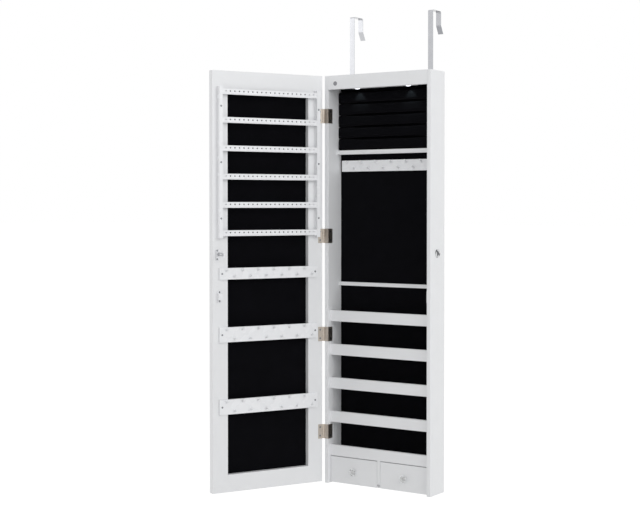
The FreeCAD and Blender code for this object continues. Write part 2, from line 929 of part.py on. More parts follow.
# Wrap-round hinges: five knuckles about one pin, the cabinet leaf folded round the panel's edge
def knuckles(name, wanted, link_low):
    items = []
    for k in wanted:
        start = "hinge_height * %.1f + knuckle_gap / 2 - hinge_height / 2" % (k / 5)
        tall = "hinge_height / 5 - knuckle_gap"
        items.append(rod("%s_knuckle_%d" % (name, k), "z", ("0", "0", start), "knuckle_radius", tall))
        link = box(
            "%s_link_%d" % (name, k),
            ("knuckle_radius * 0.3", link_low, start),
            ("leaf_root + 0.4 - knuckle_radius * 0.3", "leaf_thickness", tall),
        )
        items.append(link)
    return items


def bore(name):
    foot = "-hinge_height / 2 - 1"
    return rod(name + "_bore", "z", ("0", "0", foot), "pin_radius + pin_gap", "hinge_height + 2")


def cabinet_leaf(name, level):
    low = "door_gap / 2 - leaf_thickness"
    corner = "pivot_offset + side_thickness"
    back = "door_gap / 2 + return_length"
    front = box(
        name + "_front",
        ("leaf_root", low, "-hinge_height / 2"),
        (corner + " + leaf_thickness - leaf_root", "leaf_thickness", "hinge_height"),
    )
    turned = box(
        name + "_return",
        (corner, low, "-hinge_height / 2"),
        ("leaf_thickness", back + " - (" + low + ")", "hinge_height"),
    )
    solid = join(name + "_solid", [front, turned] + knuckles(name, (0, 2, 4), low))
    holes = [bore(name)]
    for n, side in enumerate(("-", "+")):
        at = (corner + " + leaf_thickness", "door_gap / 2 + wall_screw_reach", side + "leaf_screw_spread")
        holes.append(sunk_hole("%s_screw_hole_%d" % (name, n), "-x", at))
    return place(cut(name, solid, holes), "pivot_x", "pivot_y", level)


def door_leaf(name, level):
    flat = box(
        name + "_flat",
        ("leaf_root", "door_face", "-hinge_height / 2"),
        ("pivot_offset + door_leaf_width - leaf_root", "leaf_thickness", "hinge_height"),
    )
    solid = join(name + "_solid", [flat] + knuckles(name, (1, 3), "door_face"))
    holes = [bore(name)]
    for n, side in enumerate(("-", "+")):
        at = (door_leaf_screw_x, "door_face + leaf_thickness", side + "leaf_screw_spread")
        holes.append(sunk_hole("%s_screw_hole_%d" % (name, n), "-y", at))
    return place(cut(name, solid, holes), "0", "0", level)


cabinet_leaves = [cabinet_leaf("cabinet_leaf_%d" % n, z) for n, z in enumerate(hinge_heights)]
keep(group("hinge_cabinet_leaves", cabinet_leaves))
pins = []
for n, level in enumerate(hinge_heights):
    foot = "%s - hinge_height / 2" % level
    pins.append(rod("hinge_pin_%d" % n, "z", ("pivot_x", "pivot_y", foot), "pin_radius", "hinge_height"))
keep(group("hinge_pins", pins))

# Over-door hooks: one steel strip each, up the back, over the room door and down to a flared tab
strap_end = "strap_thickness * 2 + strap_gap"
rise = "strap_foot + strap_rise"
profile = [
    ("0", "0"),
    ("strap_thickness", "0"),
    ("strap_thickness", rise + " - strap_thickness"),
    ("strap_thickness + strap_gap", rise + " - strap_thickness"),
    ("strap_thickness + strap_gap", rise + " - strap_leg"),
    ("strap_thickness + strap_gap + strap_flare", rise + " - strap_leg - strap_tab"),
    (strap_end + " + strap_flare", rise + " - strap_leg - strap_tab"),
    (strap_end, rise + " - strap_leg"),
    (strap_end, rise),
    ("0", rise),
]
for side, middle in (("left", strap_xs[0]), ("right", strap_xs[1])):
    name = "over_door_hook_" + side
    strip = body(name + "_strip")
    feature = pad(strip, name + "_pad", outline(strip, name + "_side", "YZ_Plane", profile), "strap_width")
    inner = soften(
        strip,
        name + "_inner_bend",
        feature,
        "strap_bend",
        lambda e, w: lies_across(e) and abs(w.ZMax - e.ZMin - sheet.get("strap_thickness")) < 0.1,
    )
    soften(
        strip,
        name + "_outer_bend",
        inner,
        "strap_bend + strap_thickness",
        lambda e, w: lies_across(e) and e.ZMin > w.ZMax - 0.1,
    )
    place(strip, middle + " - strap_width / 2", "-strap_thickness", "half_height - strap_foot")
    holes = [sunk_hole("%s_hole_%d" % (name, n), "-y", (middle, "0", z)) for n, z in enumerate(strap_screws)]
    keep(cut(name, strip, holes))

# Cabinet screws: hinges, catch plate and over-door hooks
cabinet_screws = []
for n, z in enumerate(wall_screws):
    at = ("leaf_thickness - half_inside", wall_screw_y, z)
    cabinet_screws.append(flush_screw("wall_screw_%d" % n, "-x", at, "short_screw"))
for n, z in enumerate(plate_screws):
    at = (keeper_x, plate_screw_y, z)
    cabinet_screws.append(flush_screw("plate_screw_%d" % n, "x", at, "short_screw"))
for m, z in enumerate(strap_screws):
    for n, x in enumerate(strap_xs):
        cabinet_screws.append(flush_screw("strap_screw_%d_%d" % (m, n), "-y", (x, "0", z), "short_screw"))
keep(group("cabinet_screws", cabinet_screws))

# Door pieces are drawn on the closed door, measured from the hinge pin
rack_xs = ["pivot_offset + rack_margin", "door_free - rack_margin - rack_cheek_width"]
rack_levels = ["rack_top - (rack_top - rack_bottom) * %s" % part for part in ("0.13", "0.5", "0.87")]
rack_screw_places = []
for x in rack_xs:
    for z in rack_levels:
        rack_screw_places.append((x + " + rack_cheek_width / 2", z))
bars = [
    ("door_bar_top_one", "low_bar_height"),
    ("door_bar_top_two", "tall_bar_height"),
    ("door_bar_top_three", "tall_bar_height"),
]
bar_screw_places = []
for top, tall in bars:
    for way in ("-", "+"):
        across = "door_middle %s (bar_length / 2 - bar_screw_margin)" % way
        bar_screw_places.append((across, "%s - %s / 2" % (top, tall)))
leaf_screw_places = []
for level in hinge_heights:
    for side in ("-", "+"):
        leaf_screw_places.append((door_leaf_screw_x, "%s %s leaf_screw_spread" % (level, side)))
strike_screw_places = [
    ("tongue_outside - pivot_x + strike_width * 0.4", "strike_bottom + strike_height * %s" % part)
    for part in ("0.14", "0.86")
]
catch_middle = "door_free - catch_margin - catch_width / 2"
catch_screw_places = [
    (catch_middle, "catch_bottom + catch_ear / 2"),
    (catch_middle, "catch_bottom + catch_height - catch_ear / 2"),
]


def door_pilots(name, spots, depth):
    mouth = "door_face + 1"
    return [pilot("%s_%d" % (name, n), "-y", (x, mouth, z), depth) for n, (x, z) in enumerate(spots)]


def clear_hole(name, x, z, thickness):
    """A screw's way through a piece on the door's inner face."""
    return rod(name, "y", (x, "door_face - 1", z), "screw_radius + screw_gap", thickness + " + 2")


# Door frame: two stiles and two rails, rebated on the outside for the mirror
def rebate(name):
    return box(
        name,
        ("pivot_offset + mirror_border", "door_outside - 1", "door_bottom + mirror_border"),
        (
            "cabinet_width - mirror_border * 2",
            "mirror_thickness + 1",
            "door_top - door_bottom - mirror_border * 2",
        ),
    )


def stile(name, low, drills):
    blank = box(
        name + "_blank",
        (low, "door_outside", "door_bottom"),
        ("stile_width", "door_thickness", "door_top - door_bottom"),
    )
    keep(swing(cut(name, blank, [rebate(name + "_rebate")] + drills)))


stile(
    "door_stile_hinge",
    "pivot_offset",
    door_pilots("hinge_leaf_pilot", leaf_screw_places, "short_screw")
    + door_pilots("hinge_rack_pilot", rack_screw_places[:3], "rack_screw - rack_depth")
    + door_pilots("hinge_bar_pilot", bar_screw_places[0::2], "bar_screw - bar_thickness"),
)
stile(
    "door_stile_free",
    "door_free - stile_width",
    door_pilots("free_rack_pilot", rack_screw_places[3:], "rack_screw - rack_depth")
    + door_pilots("free_bar_pilot", bar_screw_places[1::2], "bar_screw - bar_thickness")
    + door_pilots("strike_pilot", strike_screw_places, "short_screw")
    + door_pilots("catch_pilot", catch_screw_places, "short_screw"),
)
for name, low in (("door_rail_top", "door_top - door_rail_height"), ("door_rail_bottom", "door_bottom")):
    blank = box(
        name + "_blank",
        ("pivot_offset + stile_width", "door_outside", low),
        ("cabinet_width - stile_width * 2", "door_thickness", "door_rail_height"),
    )
    keep(swing(cut(name, blank, [rebate(name + "_rebate")])))


def door_board(name, low, span):
    """A plain board on the door: its corner is turned about the pin with the door."""
    x, y, z = low
    item = box(name, low, span)
    item.Placement = opened()
    bind(item, ".Placement.Rotation.Angle", "door_angle")
    return place(
        item,
        "pivot_x + door_cos * (%s) + door_sin * (%s)" % (x, y),
        "pivot_y - door_sin * (%s) + door_cos * (%s)" % (x, y),
        z,
    )


keep(
    door_board(
        "door_mirror",
        (
            "pivot_offset + mirror_border + seat_gap",
            "door_outside",
            "door_bottom + mirror_border + seat_gap",
        ),
        (
            "cabinet_width - (mirror_border + seat_gap) * 2",
            "mirror_thickness",
            "door_top - door_bottom - (mirror_border + seat_gap) * 2",
        ),
    )
)
keep(
    door_board(
        "door_liner",
        ("pivot_offset + stile_width", "door_outside + mirror_thickness", "door_bottom + door_rail_height"),
        (
            "cabinet_width - stile_width * 2",
            "door_thickness - mirror_thickness - recess_depth",
            "door_top - door_bottom - door_rail_height * 2",
        ),
    )
)

# Earring rack: two cheeks screwed to the stiles and six drilled rails with a rolled lower edge
for name, x, spots in (
    ("rack_cheek_hinge", rack_xs[0], rack_screw_places[:3]),
    ("rack_cheek_free", rack_xs[1], rack_screw_places[3:]),
):
    blank = box(
        name + "_blank",
        (x, "door_face", "rack_bottom"),
        ("rack_cheek_width", "rack_depth", "rack_top - rack_bottom"),
    )
    holes = [
        clear_hole("%s_hole_%d" % (name, n), across, z, "rack_depth")
        for n, (across, z) in enumerate(spots)
    ]
    keep(swing(cut(name, blank, holes)))

rails = []
rail_long = "(cabinet_width - (rack_margin + rack_cheek_width) * 2)"
hole_radius = sheet.get("rack_hole_radius")
hole_pitch = sheet.get("rack_hole_pitch")
hole_span = sheet.get("cabinet_width") - (sheet.get("rack_margin") + sheet.get("rack_cheek_width")) * 2
hole_count = int(hole_span / hole_pitch)
row_long = "rack_hole_pitch * %d" % (hole_count - 1)
for n in range(6):
    name = "rack_rail_%d" % n
    rail = body(name)
    side = [
        ("0", "0"),
        ("rack_rail_thickness + rack_rail_lip", "0"),
        ("rack_rail_thickness + rack_rail_lip", "rack_rail_lip"),
        ("rack_rail_thickness", "rack_rail_lip * 2"),
        ("rack_rail_thickness", "rack_rail_height"),
        ("0", "rack_rail_height"),
    ]
    pad(rail, name + "_strip", outline(rail, name + "_side", "YZ_Plane", side), rail_long)
    holes = rail.newObject("Sketcher::SketchObject", name + "_hole")
    holes.AttachmentSupport = [(plane(rail, "XZ_Plane"), "")]
    holes.MapMode = "FlatFace"
    bind(holes, ".AttachmentOffset.Base.z", "-rack_rail_thickness - 1")
    start = FreeCAD.Vector(hole_pitch, sheet.get("rack_hole_drop"), 0)
    holes.addGeometry(Part.Circle(start, FreeCAD.Vector(0, 0, 1), hole_radius), False)
    across = "(%s - %s) / 2" % (rail_long, row_long)
    up = "rack_rail_height - rack_hole_drop"
    for kind, text, value in (("DistanceX", across, start.x), ("DistanceY", up, start.y)):
        held = holes.addConstraint(Sketcher.Constraint(kind, -1, 1, 0, 3, value))
        bind(holes, "Constraints[%d]" % held, text)
    held = holes.addConstraint(Sketcher.Constraint("Radius", 0, hole_radius))
    bind(holes, "Constraints[%d]" % held, "rack_hole_radius")
    drilled = pocket(rail, name + "_drilled", holes, "rack_rail_thickness + 2", True)
    row = rail.newObject("PartDesign::LinearPattern", name + "_row")
    row.Originals = [drilled]
    row.Direction = (plane(rail, "X_Axis"), [""])
    row.Occurrences = hole_count
    bind(row, "Length", row_long)
    rail.Tip = row
    rails.append(
        place(
            rail,
            "pivot_offset + rack_margin + rack_cheek_width",
            "rack_front - rack_rail_thickness - rack_rail_lip",
            "rack_first_rail - rack_rail_pitch * %d" % n,
        )
    )
keep(swing(group("rack_rails", rails)))

# Three hook bars across the door
for n, (top, tall) in enumerate(bars, 1):
    name = "hook_bar_%d" % n
    bar = hook_bar(name + "_blank", tall)
    bar.Placement = FreeCAD.Placement(FreeCAD.Vector(), FreeCAD.Rotation(FreeCAD.Vector(0, 0, 1), 180))
    place(bar, "door_middle + bar_length / 2", "door_face", "%s - %s" % (top, tall))
    holes = [
        clear_hole("%s_hole_%d" % (name, m), x, z, "bar_thickness")
        for m, (x, z) in enumerate(bar_screw_places[n * 2 - 2 : n * 2])
    ]
    keep(swing(cut(name, bar, holes)))

# Strike: an angle plate on the stile, whose tongue ends in a lip that the cam hooks over
tongue_left = "tongue_outside - pivot_x - strike_thickness"
tongue_low = "lock_height - tongue_drop"
tongue_end = "lip_back - pivot_y"
strike_solid = join(
    "strike_solid",
    [
        box(
            "strike_base",
            (tongue_left, "door_face", "strike_bottom"),
            ("strike_width", "strike_thickness", "strike_height"),
        ),
        box(
            "strike_tongue",
            (tongue_left, "door_face", tongue_low),
            ("strike_thickness", tongue_end + " - door_face", "tongue_height"),
        ),
        box(
            "strike_lip",
            (tongue_left + " - tongue_lip", tongue_end + " - strike_thickness", tongue_low),
            ("tongue_lip + strike_thickness", "strike_thickness", "tongue_height"),
        ),
    ],
)
window = box(
    "strike_window",
    (tongue_left + " - 1", "door_face + 9", tongue_low + " + tongue_height * 0.3"),
    ("strike_thickness + 2", "12", "tongue_height * 0.4"),
)
strike_holes = [
    sunk_hole("strike_hole_%d" % n, "-y", (x, "door_face + strike_thickness", z))
    for n, (x, z) in enumerate(strike_screw_places)
]
keep(swing(cut("strike", strike_solid, [window] + strike_holes)))

# Magnetic catch: a block with an ear at each end
catch_low = "door_free - catch_margin - catch_width"
catch_solid = join(
    "catch_solid",
    [
        box(
            "catch_ears",
            (catch_low, "door_face", "catch_bottom"),
            ("catch_width", "catch_ear_thickness", "catch_height"),
        ),
        box(
            "catch_block",
            (catch_low, "door_face", "catch_bottom + catch_ear"),
            ("catch_width", "catch_depth", "catch_height - catch_ear * 2"),
        ),
    ],
)
catch_holes = [
    clear_hole("catch_hole_%d" % n, x, z, "catch_ear_thickness")
    for n, (x, z) in enumerate(catch_screw_places)
]
keep(swing(cut("catch_magnet", catch_solid, catch_holes)))

# Door leaves of the hinges, and all screws on the door
door_leaves = [door_leaf("door_leaf_%d" % n, z) for n, z in enumerate(hinge_heights)]
keep(swing(group("hinge_door_leaves", door_leaves)))
rack_screws = []
for n, (x, z) in enumerate(rack_screw_places):
    rack_screws.append(screw("rack_screw_%d" % n, "-y", (x, "rack_front", z), "rack_screw"))
keep(swing(group("rack_screws", rack_screws)))
door_screws = []
for n, (x, z) in enumerate(leaf_screw_places):
    at = (x, "door_face + leaf_thickness", z)
    door_screws.append(flush_screw("leaf_screw_%d" % n, "-y", at, "short_screw"))
for n, (x, z) in enumerate(bar_screw_places):
    at = (x, "door_face + bar_thickness", z)
    door_screws.append(screw("bar_screw_%d" % n, "-y", at, "bar_screw"))
for n, (x, z) in enumerate(strike_screw_places):
    at = (x, "door_face + strike_thickness", z)
    door_screws.append(flush_screw("strike_screw_%d" % n, "-y", at, "short_screw"))
for n, (x, z) in enumerate(catch_screw_places):
    at = (x, "door_face + catch_ear_thickness", z)
    door_screws.append(screw("catch_screw_%d" % n, "-y", at, "short_screw"))
keep(swing(group("door_screws", door_screws)))

doc.recompute()

for item in doc.Objects:
    if "Invalid" in item.State or "Error" in item.State:
        raise RuntimeError("not built: " + item.Name)
os.makedirs("parts", exist_ok=True)
for item in made:
    shape = item.Shape
    if shape.isNull() or not shape.isValid():
        raise RuntimeError("no sound shape: " + item.Label)
    shape.exportStep("parts/%s.step" % item.Label)
    box_of = shape.BoundBox
    print(
        "%-22s %2d solids  X %7.1f %7.1f  Y %7.1f %7.1f  Z %7.1f %7.1f"
        % (
            item.Label,
            len(shape.Solids),
            box_of.XMin,
            box_of.XMax,
            box_of.YMin,
            box_of.YMax,
            box_of.ZMin,
            box_of.ZMax,
        )
    )
print(len(made), "pieces")
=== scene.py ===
import bmesh
import bpy
import math
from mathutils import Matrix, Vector


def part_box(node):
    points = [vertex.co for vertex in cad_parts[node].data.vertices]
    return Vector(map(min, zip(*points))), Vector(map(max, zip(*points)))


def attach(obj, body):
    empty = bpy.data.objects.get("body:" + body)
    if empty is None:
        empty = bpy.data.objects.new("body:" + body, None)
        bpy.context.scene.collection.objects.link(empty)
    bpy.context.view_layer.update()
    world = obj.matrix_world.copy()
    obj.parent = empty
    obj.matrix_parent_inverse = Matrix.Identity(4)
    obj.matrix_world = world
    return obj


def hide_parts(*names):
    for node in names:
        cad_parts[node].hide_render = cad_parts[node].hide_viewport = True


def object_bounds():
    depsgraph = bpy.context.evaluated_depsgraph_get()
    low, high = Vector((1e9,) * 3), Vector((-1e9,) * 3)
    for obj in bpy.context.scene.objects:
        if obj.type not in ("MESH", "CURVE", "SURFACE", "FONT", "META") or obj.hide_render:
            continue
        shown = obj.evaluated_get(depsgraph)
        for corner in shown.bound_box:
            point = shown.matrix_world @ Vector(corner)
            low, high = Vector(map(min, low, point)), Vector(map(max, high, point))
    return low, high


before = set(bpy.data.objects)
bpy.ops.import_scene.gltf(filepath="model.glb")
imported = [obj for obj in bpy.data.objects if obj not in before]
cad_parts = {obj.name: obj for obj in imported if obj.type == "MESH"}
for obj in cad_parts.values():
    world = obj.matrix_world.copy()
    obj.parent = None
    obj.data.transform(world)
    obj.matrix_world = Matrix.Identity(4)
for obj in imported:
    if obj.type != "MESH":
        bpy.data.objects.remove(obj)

cad_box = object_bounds()

# Studio: an endless pale floor under white air.  Both go pure white to the camera,
# and the floor keeps the cabinet's soft shadow.
FLOOR_DROP = 0.16
FLOOR_REACH = 60.0
FLOOR_WHITE = "#E9E9E8"
FLOOR_LIFT = 0.45
AIR_WHITE = "#FFFFFF"
AIR_STRENGTH = 0.69


def colour(code):
    """An sRGB hex colour as linear red, green, blue and alpha."""
    parts = [int(code[n : n + 2], 16) / 255 for n in (1, 3, 5)]
    return [p / 12.92 if p <= 0.04045 else ((p + 0.055) / 1.055) ** 2.4 for p in parts] + [1]


def add(tree, kind, settings=None, feeds=None):
    """A node with its settings, and each input fed from a value or from another node's output."""
    node = tree.nodes.new(kind)
    for name, value in (settings or {}).items():
        setattr(node, name, value)
    for name, value in (feeds or {}).items():
        if isinstance(value, bpy.types.NodeSocket):
            tree.links.new(value, node.inputs[name])
        else:
            node.inputs[name].default_value = value
    return node


def seen_white(tree):
    """1 for the camera, and for what gloss and clear plastic show, otherwise 0."""
    path = add(tree, "ShaderNodeLightPath")
    gloss = add(
        tree,
        "ShaderNodeMath",
        {"operation": "MAXIMUM"},
        {0: path.outputs["Is Camera Ray"], 1: path.outputs["Is Glossy Ray"]},
    )
    return add(
        tree,
        "ShaderNodeMath",
        {"operation": "MAXIMUM"},
        {0: gloss.outputs[0], 1: path.outputs["Is Transmission Ray"]},
    ).outputs[0]


air = bpy.data.worlds.new("white_air")
air.use_nodes = True
air_tree = air.node_tree
air_tree.nodes.clear()
shown = seen_white(air_tree)
strength = add(
    air_tree,
    "ShaderNodeMapRange",
    {},
    {"Value": shown, "To Min": AIR_STRENGTH, "To Max": 1.0},
)
backlight = add(
    air_tree,
    "ShaderNodeBackground",
    {},
    {"Color": colour(AIR_WHITE), "Strength": strength.outputs["Result"]},
)
add(air_tree, "ShaderNodeOutputWorld", {}, {"Surface": backlight.outputs[0]})
bpy.context.scene.world = air
bpy.context.scene.view_settings.view_transform = "Standard"

floor_mesh = bpy.data.meshes.new("studio_floor")
bm = bmesh.new()
bmesh.ops.create_grid(bm, x_segments=1, y_segments=1, size=FLOOR_REACH)
bmesh.ops.translate(bm, verts=bm.verts, vec=(0, 0, cad_box[0].z - FLOOR_DROP))
bm.to_mesh(floor_mesh)
bm.free()
floor = bpy.data.objects.new("studio_floor", floor_mesh)
bpy.context.scene.collection.objects.link(floor)
floor_paint = bpy.data.materials.new("pale_studio_floor")
floor_paint.use_nodes = True
floor_tree = floor_paint.node_tree
floor_tree.nodes.clear()
matt = add(floor_tree, "ShaderNodeBsdfDiffuse", {}, {"Color": colour(FLOOR_WHITE)})
lift = add(
    floor_tree,
    "ShaderNodeMath",
    {"operation": "MULTIPLY"},
    {0: seen_white(floor_tree), 1: FLOOR_LIFT},
)
glow = add(
    floor_tree,
    "ShaderNodeEmission",
    {},
    {"Color": colour(AIR_WHITE), "Strength": lift.outputs[0]},
)
both = add(floor_tree, "ShaderNodeAddShader", {}, {0: matt.outputs[0], 1: glow.outputs[0]})
add(floor_tree, "ShaderNodeOutputMaterial", {}, {"Surface": both.outputs[0]})
floor_mesh.materials.append(floor_paint)

# Lamps: one broad soft panel on the right, and two weaker ones on the left and in front.
# They are large and far, so the white boards shade off slowly.
AIM_AT = Vector((0, -0.1, 0))
PANEL_WIDTH = 2.4


def soft_panel(name, place, power):
    """A square area lamp turned towards the cabinet."""
    data = bpy.data.lights.new(name, "AREA")
    data.shape = "SQUARE"
    data.size = PANEL_WIDTH
    data.energy = power
    lamp = bpy.data.objects.new(name, data)
    lamp.location = place
    lamp.rotation_euler = (AIM_AT - Vector(place)).to_track_quat("-Z", "Y").to_euler()
    bpy.context.scene.collection.objects.link(lamp)


soft_panel("right_panel", (3.7, -1.0, 1.7), 45)
soft_panel("left_panel", (-3.0, -2.6, 1.6), 18)
soft_panel("front_panel", (1.8, -3.6, 1.9), 11)

# Camera: to the right of the cabinet and a little above its middle, with a long lens.
# The shift puts the cabinet where the photograph has it.
SENSOR = 36.0
PICTURE_WIDTH = 640
PICTURE_HEIGHT = 512
FOCAL_PIXELS = 1321.14
AXIS_ROW = 231.17
CAMERA_PLACE = (1.9946, -3.3126, 0.2139)
CAMERA_TURN = 0.5954
CAMERA_DIP = 0.018

lens = bpy.data.cameras.new("studio_camera")
lens.sensor_width = SENSOR
lens.lens = FOCAL_PIXELS / PICTURE_WIDTH * SENSOR
lens.shift_y = (AXIS_ROW - PICTURE_HEIGHT / 2) / PICTURE_WIDTH
camera = bpy.data.objects.new("studio_camera", lens)
camera.location = CAMERA_PLACE
camera.rotation_euler = (math.pi / 2 - CAMERA_DIP, 0, CAMERA_TURN)
bpy.context.scene.collection.objects.link(camera)
bpy.context.scene.camera = camera

# Cabinet boards: fibreboard panels glued into a shallow case and sprayed white.
# Satin lacquer: an even white with a faint orange peel that softens its reflections.
LACQUER = "#EAEBED"
LACQUER_THIN = "#E5E6E8"
CASE_BOARDS = [
    "side_panel_left",
    "side_panel_right",
    "top_panel",
    "bottom_panel",
    "top_rail",
    "drawer_divider",
]


def size_scale(millimetres):
    """The scale of a pattern whose marks are that many millimetres across."""
    return 1000 / millimetres


def finish(name, **feeds):
    """A material with one Principled shader, its node tree and its place."""
    material = bpy.data.materials.new(name)
    material.use_nodes = True
    tree = material.node_tree
    tree.nodes.clear()
    place = add(tree, "ShaderNodeTexCoord").outputs["Object"]
    shader = add(tree, "ShaderNodeBsdfPrincipled", {}, {k.replace("_", " "): v for k, v in feeds.items()})
    add(tree, "ShaderNodeOutputMaterial", {}, {"Surface": shader.outputs["BSDF"]})
    return material, tree, place, shader


def mottle(tree, place, millimetres, detail=3.0):
    """Soft noise with marks of that size."""
    noise = add(
        tree,
        "ShaderNodeTexNoise",
        {},
        {"Vector": place, "Scale": size_scale(millimetres), "Detail": detail},
    )
    return noise.outputs["Fac"]


def between(tree, factor, low, high):
    """A colour between two, by a pattern."""
    mix = add(tree, "ShaderNodeMix", {"data_type": "RGBA"}, {"Factor": factor})
    mix.inputs["A"].default_value = colour(low)
    mix.inputs["B"].default_value = colour(high)
    return mix.outputs["Result"]


def spread(tree, factor, low, high):
    """A number between two, by a pattern."""
    ranged = add(tree, "ShaderNodeMapRange", {}, {"Value": factor, "To Min": low, "To Max": high})
    return ranged.outputs["Result"]


def relief(tree, shader, height, depth, strength):
    """Small bumps from a pattern, that many metres deep."""
    bump = add(tree, "ShaderNodeBump", {}, {"Height": height, "Distance": depth, "Strength": strength})
    tree.links.new(bump.outputs["Normal"], shader.inputs["Normal"])


def dress(names, material):
    """Give CAD nodes their finish."""
    for name in names:
        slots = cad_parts[name].data.materials
        slots.clear()
        slots.append(material)


lacquer, tree, place, shader = finish("white_satin_lacquer", IOR=1.5)
tree.links.new(between(tree, mottle(tree, place, 60), LACQUER, LACQUER_THIN), shader.inputs["Base Color"])
tree.links.new(spread(tree, mottle(tree, place, 18), 0.3, 0.42), shader.inputs["Roughness"])
relief(tree, shader, mottle(tree, place, 1.6, 2.0), 0.00008, 0.35)
dress(CASE_BOARDS, lacquer)

# Back: a thin board in the rabbets, lacquered on the outside only and rolled on thinner.
BACK_WHITE = "#E4E3DF"
BACK_SHADE = "#DAD8D2"
back_board, tree, place, shader = finish("rolled_back_board", IOR=1.5)
tree.links.new(between(tree, mottle(tree, place, 35), BACK_WHITE, BACK_SHADE), shader.inputs["Base Color"])
tree.links.new(spread(tree, mottle(tree, place, 6), 0.5, 0.68), shader.inputs["Roughness"])
relief(tree, shader, mottle(tree, place, 2.5, 4.0), 0.00015, 0.4)
dress(["back_panel"], back_board)

# Velvet boards: black flocked cloth glued on the inside of the back and of the door.
# The pile drinks the light; only stroked patches and the lint show a trace of grey.
VELVET = "#040406"
VELVET_STROKED = "#0A0A0E"


def pile(name, deep, stroked):
    """Flocked or woven pile: dull, with a thin sheen and fine fibres."""
    material, tree, place, shader = finish(
        name,
        Roughness=0.95,
        Sheen_Weight=0.09,
        Sheen_Roughness=0.45,
    )
    shader.inputs["Sheen Tint"].default_value = colour("#8A8A92")
    shader.inputs["Specular IOR Level"].default_value = 0.06
    tree.links.new(between(tree, mottle(tree, place, 45, 5.0), deep, stroked), shader.inputs["Base Color"])
    relief(tree, shader, mottle(tree, place, 0.9, 2.0), 0.0004, 0.8)
    return material


def as_object(name, bm, material):
    """A finished mesh as an object at the origin."""
    mesh = bpy.data.meshes.new(name)
    bm.to_mesh(mesh)
    bm.free()
    mesh.materials.append(material)
    item = bpy.data.objects.new(name, mesh)
    bpy.context.scene.collection.objects.link(item)
    return item


def shade_smooth(item):
    """Let the faces of a rounded piece run into each other."""
    for face in item.data.polygons:
        face.use_smooth = True


def round_edges(bm, width, segments):
    """Round every edge of the blocks drawn so far."""
    bmesh.ops.bevel(
        bm,
        geom=list(bm.edges),
        offset=width,
        offset_type="OFFSET",
        segments=segments,
        profile=0.5,
        material=-1,
        affect="EDGES",
    )


velvet = pile("black_flocked_velvet", VELVET, VELVET_STROKED)
dress(["door_liner"], velvet)

# The board in the cabinet runs up to the top panel, so no white shows over the cushion.
# Its cloth is turned over the edges, which rounds them.
LINER_EDGE = 0.0008
LINER_EDGE_STEPS = 3
LINER_TOP_GAP = 0.0003
low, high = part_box("back_liner")
top_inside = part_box("top_panel")[0].z - LINER_TOP_GAP
bm = bmesh.new()
bmesh.ops.create_cube(bm, size=1.0)
bmesh.ops.scale(bm, verts=bm.verts, vec=(high.x - low.x, high.y - low.y, top_inside - low.z))
bmesh.ops.translate(
    bm,
    verts=bm.verts,
    vec=((low.x + high.x) / 2, (low.y + high.y) / 2, (low.z + top_inside) / 2),
)
round_edges(bm, LINER_EDGE, LINER_EDGE_STEPS)
liner = as_object("back_liner_board", bm, velvet)
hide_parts("back_liner")
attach(liner, "cabinet")

# Shelves: lacquered boards glued between the sides, each with a lip board on its front.
# The ring shelf and the batten in the tall space are narrower strips of the same board.
dress(["ring_shelf", "necklace_batten"], lacquer)
for number in range(1, 6):
    dress(["shelf_board_%d" % number, "shelf_lip_%d" % number], lacquer)

# Ring cushion: five firm foam rolls, each wrapped in black velvet, pressed side by side
# on the ring shelf with slits between them.  Each roll is crowned, and its cloth is
# puffed a little by the foam.
ROLLS = 5
ROLL_SLIT = 0.0008
ROLL_ROUND = 0.003
ROLL_ROUND_STEPS = 2
ROLL_CROWN = 0.0046
ROLL_END_POWER = 24
CLOTH_STEP = 0.0042
PUFF_FRAMES = 16
PUFF_LIMIT = 0.0035
RUNS_ALONG = 0.9


def split_along(bm, axis, step):
    """Cut every edge that runs along that axis into pieces about a step long."""
    spans = {}
    for edge in bm.edges:
        run = edge.verts[1].co - edge.verts[0].co
        if abs(run[axis]) > RUNS_ALONG * run.length:
            spans.setdefault(max(1, round(run.length / step)), []).append(edge)
    for pieces, edges in spans.items():
        if pieces > 1:
            bmesh.ops.subdivide_edges(bm, edges=edges, cuts=pieces - 1, use_grid_fill=True)


low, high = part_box("ring_cushion")
roll_tall = (high.z - low.z) / ROLLS
middle = (low + high) / 2
bm = bmesh.new()
for number in range(ROLLS):
    roll = bmesh.ops.create_cube(bm, size=1.0)["verts"]
    bmesh.ops.scale(
        bm,
        verts=roll,
        vec=(high.x - low.x, high.y - low.y - ROLL_CROWN, roll_tall - ROLL_SLIT),
    )
    bmesh.ops.translate(
        bm,
        verts=roll,
        vec=(middle.x, middle.y + ROLL_CROWN / 2, low.z + roll_tall * (number + 0.5)),
    )
round_edges(bm, ROLL_ROUND, ROLL_ROUND_STEPS)
for axis in range(3):
    split_along(bm, axis, CLOTH_STEP)
bmesh.ops.recalc_face_normals(bm, faces=bm.faces)
cushion = as_object("ring_cushion_rolls", bm, velvet)
flat_rolls = [v.co.copy() for v in cushion.data.vertices]
cloth = cushion.modifiers.new("velvet_wrap", "CLOTH")
cloth.settings.quality = 6
cloth.settings.mass = 0.3
cloth.settings.tension_stiffness = 12
cloth.settings.compression_stiffness = 12
cloth.settings.bending_stiffness = 0.6
cloth.settings.use_pressure = True
cloth.settings.uniform_pressure_force = 4.0
cloth.settings.effector_weights.gravity = 0
cloth.point_cache.frame_start = 1
cloth.point_cache.frame_end = PUFF_FRAMES
for frame_number in range(1, PUFF_FRAMES + 1):
    bpy.context.scene.frame_set(frame_number)
seen = cushion.evaluated_get(bpy.context.evaluated_depsgraph_get())
puffed = [v.co.copy() for v in seen.data.vertices]
cushion.modifiers.remove(cloth)
bpy.context.scene.frame_set(1)
